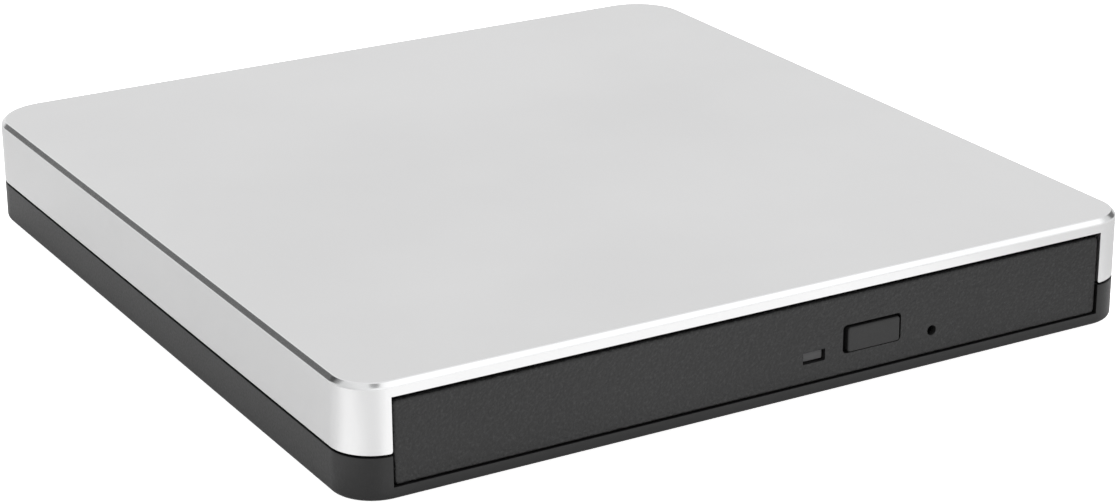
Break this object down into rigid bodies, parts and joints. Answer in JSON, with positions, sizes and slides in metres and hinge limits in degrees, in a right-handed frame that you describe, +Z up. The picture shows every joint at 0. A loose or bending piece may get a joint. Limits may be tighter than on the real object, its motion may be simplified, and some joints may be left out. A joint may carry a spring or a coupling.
{
  "type": "external optical disc drive",
  "caption": "Slim external disc drive: satin metal cover over a black base, with a sliding disc tray, eject button, light window and pinhole in its dark front.",
  "frame": {"origin": "centre of the footprint, on the plane the feet rest on", "axes": "+Z up, -Y out of the tray front, +X to the right seen from the front"},
  "size_m": [0.143, 0.149, 0.0195],
  "materials": {
    "cover_aluminium": "fine bead-blasted satin anodised",
    "base_plastic": "fine satin moulded plastic",
    "bezel_plastic": "fine pebbled moulding texture",
    "button_plastic": "smooth satin moulded plastic",
    "soft_rubber": "matt rubber",
    "screw_steel": "zinc-plated",
    "drive_sheet": "rolled zinc-plated sheet",
    "rail_steel": "drawn steel, lightly greased",
    "bright_steel": "ground and polished",
    "tray_plastic": "fine moulded texture",
    "cast_zinc": "die cast",
    "board_green": "solder-masked board",
    "chip_black": "moulded epoxy",
    "connector_black": "moulded nylon",
    "clear_plastic": "clear moulded light pipe",
    "flex_amber": "polyimide film",
    "screw_brass": "machined",
    "lens_glass": "coated objective lens"
  },
  "bodies": {
    "case": {"top_cover": "cover_aluminium", "base_shell": "base_plastic", "foot_front_left": "soft_rubber", "foot_front_right": "soft_rubber", "foot_rear_left": "soft_rubber", "foot_rear_right": "soft_rubber", "case_screw_front_left": "screw_steel", "case_screw_front_right": "screw_steel", "case_screw_rear_left": "screw_steel", "case_screw_rear_right": "screw_steel", "bridge_board": "board_green", "bridge_chip": "chip_black", "usb_socket_shell": "bright_steel", "usb_socket_tongue": "connector_black", "sata_socket": "connector_black", "sata_plug": "connector_black", "drive_chassis": "drive_sheet", "drive_lid": "drive_sheet", "lid_screw_left": "screw_steel", "lid_screw_right": "screw_steel", "rail_guide_left": "tray_plastic", "rail_guide_right": "tray_plastic", "drive_board": "board_green", "drive_chip": "chip_black", "latch_post": "screw_steel", "flex_cable": "flex_amber", "eject_spring": "screw_steel"},
    "tray": {"tray": "tray_plastic", "bezel": "bezel_plastic", "led_lens": "clear_plastic", "front_board": "board_green", "eject_switch": "chip_black", "led": "clear_plastic", "latch_solenoid": "drive_sheet", "traverse_frame": "tray_plastic", "traverse_cover": "drive_sheet", "damper_1": "soft_rubber", "damper_2": "soft_rubber", "damper_3": "soft_rubber", "damper_screw_1": "screw_steel", "damper_screw_2": "screw_steel", "damper_screw_3": "screw_steel", "spindle_base": "drive_sheet", "guide_rod_main": "bright_steel", "guide_rod_sub": "bright_steel", "feed_motor": "drive_sheet"},
    "rail_left": {"slide_rail_left": "rail_steel"},
    "rail_right": {"slide_rail_right": "rail_steel"},
    "plunger": {"eject_plunger": "tray_plastic"},
    "button": {"eject_button": "button_plastic"},
    "latch": {"latch_lever": "tray_plastic"},
    "rotor": {"spindle_rotor": "cast_zinc", "turntable_ring": "soft_rubber"},
    "claw_1": {"clamp_claw_1": "connector_black"},
    "claw_2": {"clamp_claw_2": "connector_black"},
    "claw_3": {"clamp_claw_3": "connector_black"},
    "feed_screw": {"lead_screw": "screw_brass"},
    "pickup": {"pickup_body": "cast_zinc"},
    "lens": {"lens_holder": "connector_black", "objective_lens": "lens_glass"}
  },
  "joints": [
    {"name": "tray_slide", "type": "slide", "parent": "case", "child": "tray", "axis": [0, -1, 0], "range_m": [0, 0.132]},
    {"name": "left_rail_slide", "type": "slide", "parent": "case", "child": "rail_left", "axis": [0, -1, 0], "range_m": [0, 0.066]},
    {"name": "right_rail_slide", "type": "slide", "parent": "case", "child": "rail_right", "axis": [0, -1, 0], "range_m": [0, 0.066]},
    {"name": "plunger_slide", "type": "slide", "parent": "case", "child": "plunger", "axis": [0, -1, 0], "range_m": [0, 0.008]},
    {"name": "eject_button_press", "type": "slide", "parent": "tray", "child": "button", "axis": [0, 1, 0], "range_m": [0, 0.0006]},
    {"name": "latch_swing", "type": "hinge", "parent": "tray", "child": "latch", "pos_m": [0.044, -0.044, 0.0068], "axis": [0, 0, 1], "range_deg": [0, 9]},
    {"name": "spindle_spin", "type": "hinge", "parent": "tray", "child": "rotor", "pos_m": [0, -0.008, 0.01], "axis": [0, 0, 1], "continuous": true},
    {"name": "claw_1_press", "type": "slide", "parent": "rotor", "child": "claw_1", "axis": [0.7071, -0.7071, 0], "range_m": [0, 0.0007]},
    {"name": "claw_2_press", "type": "slide", "parent": "rotor", "child": "claw_2", "axis": [0.2588, 0.9659, 0], "range_m": [0, 0.0007]},
    {"name": "claw_3_press", "type": "slide", "parent": "rotor", "child": "claw_3", "axis": [-0.9659, -0.2588, 0], "range_m": [0, 0.0007]},
    {"name": "pickup_feed", "type": "slide", "parent": "tray", "child": "pickup", "axis": [-0.7071, -0.7071, 0], "range_m": [0, 0.035]},
    {"name": "lead_screw_turn", "type": "hinge", "parent": "tray", "child": "feed_screw", "pos_m": [-0.03528, -0.01514, 0.0073], "axis": [-0.7071, -0.7071, 0], "range_deg": [0, 4200.5]},
    {"name": "lens_focus", "type": "slide", "parent": "pickup", "child": "lens", "axis": [0, 0, 1], "range_m": [-0.0004, 0.0004]}
  ],
  "couplings": [
    {"joint": "left_rail_slide", "follows": "tray_slide", "ratio": 0.5},
    {"joint": "right_rail_slide", "follows": "tray_slide", "ratio": 0.5},
    {"joint": "plunger_slide", "follows": "tray_slide", "ratio": 0.0606},
    {"joint": "claw_2_press", "follows": "claw_1_press", "ratio": 1},
    {"joint": "claw_3_press", "follows": "claw_1_press", "ratio": 1},
    {"joint": "lead_screw_turn", "follows": "pickup_feed", "rad_per_m": 2094.4}
  ]
}
